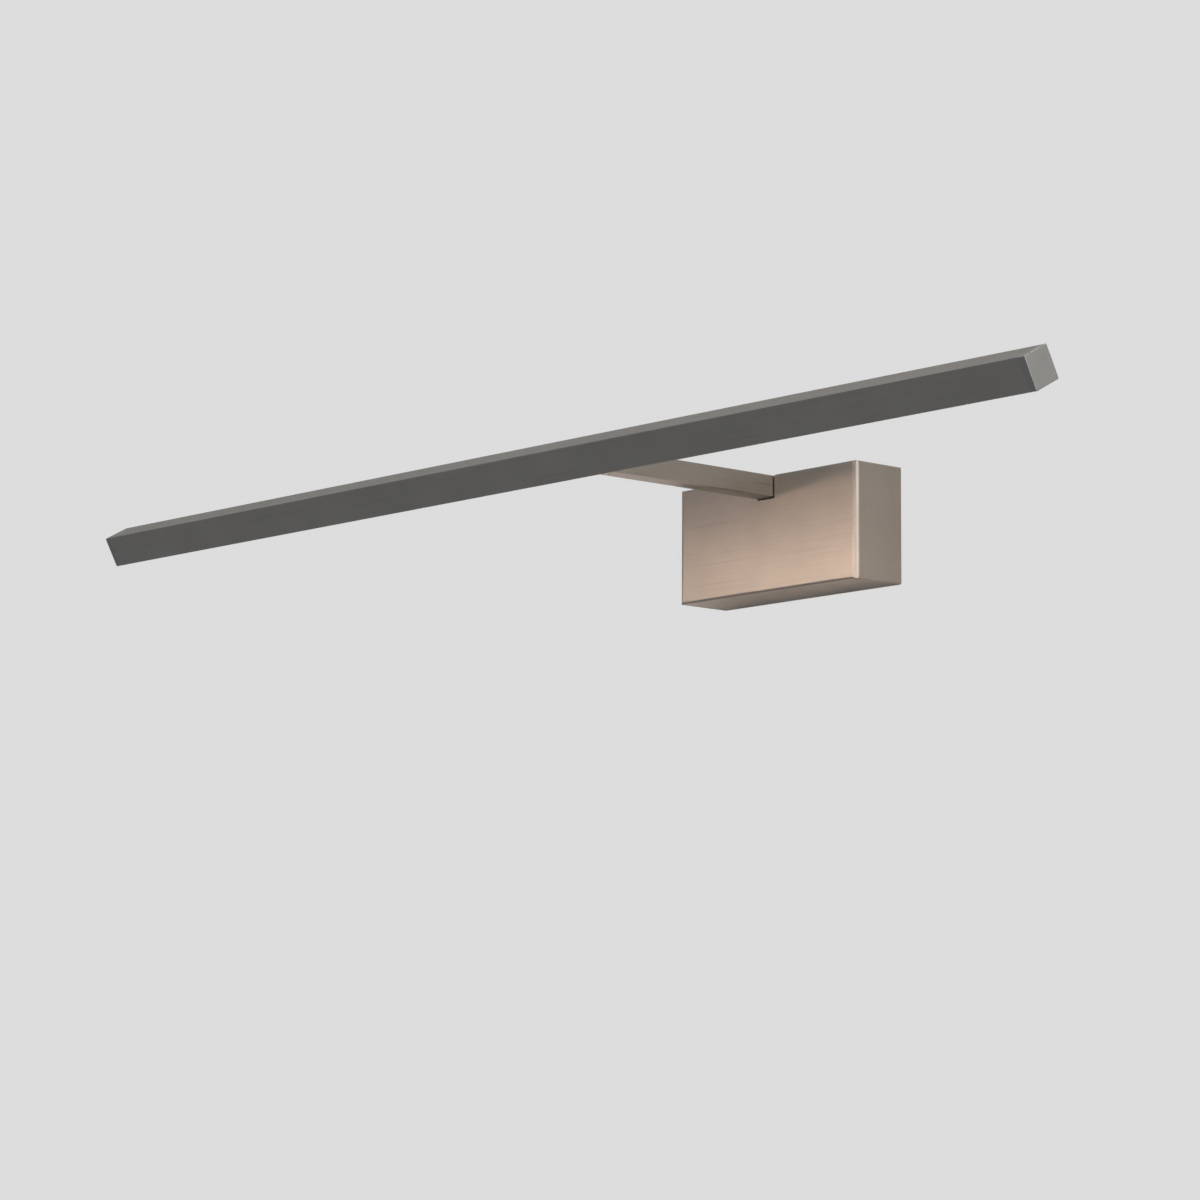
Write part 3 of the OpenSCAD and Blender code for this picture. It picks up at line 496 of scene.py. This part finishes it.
def make_tube(name, path, radius, sides):
    """A closed round tube along the path, as a new object."""
    shape = bmesh.new()
    rings = []
    across = Vector((1.0, 0.0, 0.0))
    for i, point in enumerate(path):
        ahead = (path[min(i + 1, len(path) - 1)] - path[max(i - 1, 0)]).normalized()
        across = (across - ahead * across.dot(ahead)).normalized()
        upright = ahead.cross(across)
        ring = []
        for k in range(sides):
            angle = math.tau * k / sides
            outward = math.cos(angle) * across + math.sin(angle) * upright
            ring.append(shape.verts.new(point + radius * outward))
        rings.append(ring)
    for ring, following in zip(rings, rings[1:]):
        for k in range(sides):
            face = shape.faces.new((ring[k], ring[(k + 1) % sides], following[(k + 1) % sides], following[k]))
            face.smooth = True
    shape.faces.new(list(reversed(rings[0])))
    shape.faces.new(rings[-1])
    return finish_mesh(name, shape)


def finish_mesh(name, shape):
    """An object made of the shape."""
    mesh = bpy.data.meshes.new(name)
    shape.to_mesh(mesh)
    shape.free()
    piece = bpy.data.objects.new(name, mesh)
    bpy.context.scene.collection.objects.link(piece)
    return piece


def make_lead(materials):
    """One lead all the way from the driver to the head, laid over the pivot for the head at rest."""
    lead = make_tube("lead", smooth_path(lead_route(), LEAD_STEPS), LEAD_RADIUS, LEAD_SIDES)
    lead.data.materials.append(materials["lead_sleeve"])
    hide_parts("arm_lead", "head_lead")
    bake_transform(lead)


# ---- studio ----

CAMERA_PLACE = Vector((1.3947, -1.3623, -0.3123))
CAMERA_YAW = math.radians(48.51)      # to the left of straight at the wall
CAMERA_PITCH = math.radians(8.31)     # upward
CAMERA_ROLL = math.radians(0.31)
CAMERA_LENS = 129.7                   # millimetres
CAMERA_SENSOR = 36.0                  # millimetres

BRIGHT_SIDE = (0.25, 0.66, 0.71)      # where the soft surroundings are brightest
FULLY_BRIGHT = 0.95                   # how nearly a direction has to be that one
BRIGHT_TONE = (0.78, 0.77, 0.76, 1.0)
DIM_TONE = (0.235, 0.24, 0.25, 1.0)
BACKDROP_TONE = (0.72, 0.72, 0.72, 1.0)
FLOOR_TONE = (0.72, 0.72, 0.71)
CARD_TONE = (0.68, 0.66, 0.64)


def make_camera():
    """The camera, at the photograph's viewing angle."""
    ahead = Vector((-math.sin(CAMERA_YAW) * math.cos(CAMERA_PITCH),
                    math.cos(CAMERA_YAW) * math.cos(CAMERA_PITCH),
                    math.sin(CAMERA_PITCH)))
    level = Vector((math.cos(CAMERA_YAW), math.sin(CAMERA_YAW), 0.0))
    upright = level.cross(ahead)
    right = level * math.cos(CAMERA_ROLL) + upright * math.sin(CAMERA_ROLL)
    up = upright * math.cos(CAMERA_ROLL) - level * math.sin(CAMERA_ROLL)
    data = bpy.data.cameras.new("camera")
    data.lens = CAMERA_LENS
    data.sensor_width = CAMERA_SENSOR
    data.clip_start = 0.05
    data.clip_end = 50.0
    camera = bpy.data.objects.new("camera", data)
    for column, axis in enumerate((right, up, -ahead)):
        for row in range(3):
            camera.matrix_world[row][column] = axis[row]
    camera.matrix_world.translation = CAMERA_PLACE
    bpy.context.scene.collection.objects.link(camera)
    bpy.context.scene.camera = camera


def matte(name, colour, grain):
    """A plain matte surface with the faintest unevenness."""
    material, shader = new_material(name)
    tree = material.node_tree
    uneven = noise(tree, place_of(tree, (grain,) * 3))
    tree.links.new(shaded(tree, colour, between(tree, uneven, 0.98, 1.02)), shader.inputs["Base Color"])
    shader.inputs["Roughness"].default_value = 0.85
    return material


def make_floor():
    """A plain pale floor well below the light."""
    radius = 8.0
    drop = 1.6
    shape = bmesh.new()
    bmesh.ops.create_circle(shape, cap_ends=True, segments=96, radius=radius)
    bmesh.ops.translate(shape, verts=shape.verts, vec=(0.0, 0.0, cad_box[0].z - drop))
    floor = finish_mesh("floor", shape)
    floor.data.materials.append(matte("pale_floor", FLOOR_TONE, 0.3))
    floor.visible_glossy = False


def make_card():
    """A pale card behind the light, out of the camera's sight, with a window for the wall box.

    The metal reflects it as it would reflect the wall, lit by the light's own glow.
    """
    half_w = 1.6
    bottom = -1.4
    top = 0.6
    off_wall = 1 * MM                     # into the wall, clear of the light
    window = (1, 1)                       # the middle one of the card's nine fields
    low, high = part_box("cover")
    columns = (-half_w, low.x, high.x, half_w)
    rows = (bottom, low.z, high.z, top)
    shape = bmesh.new()
    grid = [[shape.verts.new((x, off_wall, z)) for x in columns] for z in rows]
    for row in range(3):
        for column in range(3):
            if (row, column) != window:
                shape.faces.new((grid[row][column], grid[row][column + 1],
                                 grid[row + 1][column + 1], grid[row + 1][column]))
    card = finish_mesh("card", shape)
    card.data.materials.append(matte("pale_card", CARD_TONE, 0.2))
    card.visible_camera = False


def make_world():
    """Soft surroundings: bright behind, above and to the right, dim in front, plain pale to the camera."""
    world = bpy.data.worlds.new("studio")
    world.use_nodes = True
    tree = world.node_tree
    coords = add_node(tree, "ShaderNodeTexCoord")
    along = add_node(tree, "ShaderNodeVectorMath", {1: BRIGHT_SIDE}, operation="DOT_PRODUCT")
    tree.links.new(coords.outputs["Generated"], along.inputs[0])
    share = between(tree, along.outputs["Value"], 0.0, 1.0, 0.0, FULLY_BRIGHT)
    around = mixed_colour(tree, share, DIM_TONE, BRIGHT_TONE)
    seen = add_node(tree, "ShaderNodeLightPath")
    shown = add_node(tree, "ShaderNodeMix", {COLOUR_INPUTS[1]: BACKDROP_TONE}, data_type="RGBA")
    tree.links.new(seen.outputs["Is Camera Ray"], shown.inputs["Factor"])
    tree.links.new(around, shown.inputs[COLOUR_INPUTS[0]])
    tree.links.new(shown.outputs[COLOUR_OUTPUT], tree.nodes["Background"].inputs["Color"])
    bpy.context.scene.world = world


def soft_light(name, place, size, power, colour):
    """A soft square light that looks at the picture light."""
    data = bpy.data.lights.new(name, "AREA")
    data.shape = "SQUARE"
    data.size = size
    data.energy = power
    data.color = colour
    light = bpy.data.objects.new(name, data)
    light.location = place
    light.rotation_mode = "QUATERNION"
    light.rotation_quaternion = (-Vector(place)).to_track_quat("-Z", "Y")
    bpy.context.scene.collection.objects.link(light)


def make_studio():
    """Camera, floor, card, surroundings and lights."""
    make_camera()
    make_floor()
    make_card()
    make_world()
    soft_light("key", place=(0.6, 0.25, 1.9), size=1.2, power=18.0, colour=(1.0, 0.99, 0.97))
    soft_light("front", place=(0.5, -2.0, 2.3), size=1.6, power=26.0, colour=(1.0, 1.0, 1.0))
    soft_light("side", place=(1.55, -0.42, 0.12), size=0.9, power=8.2, colour=(1.0, 0.95, 0.88))
    bpy.context.scene.view_settings.view_transform = "Standard"


finishes = make_materials()
dress_nodes(finishes)
make_lead(finishes)
make_studio()

bpy.context.view_layer.update()
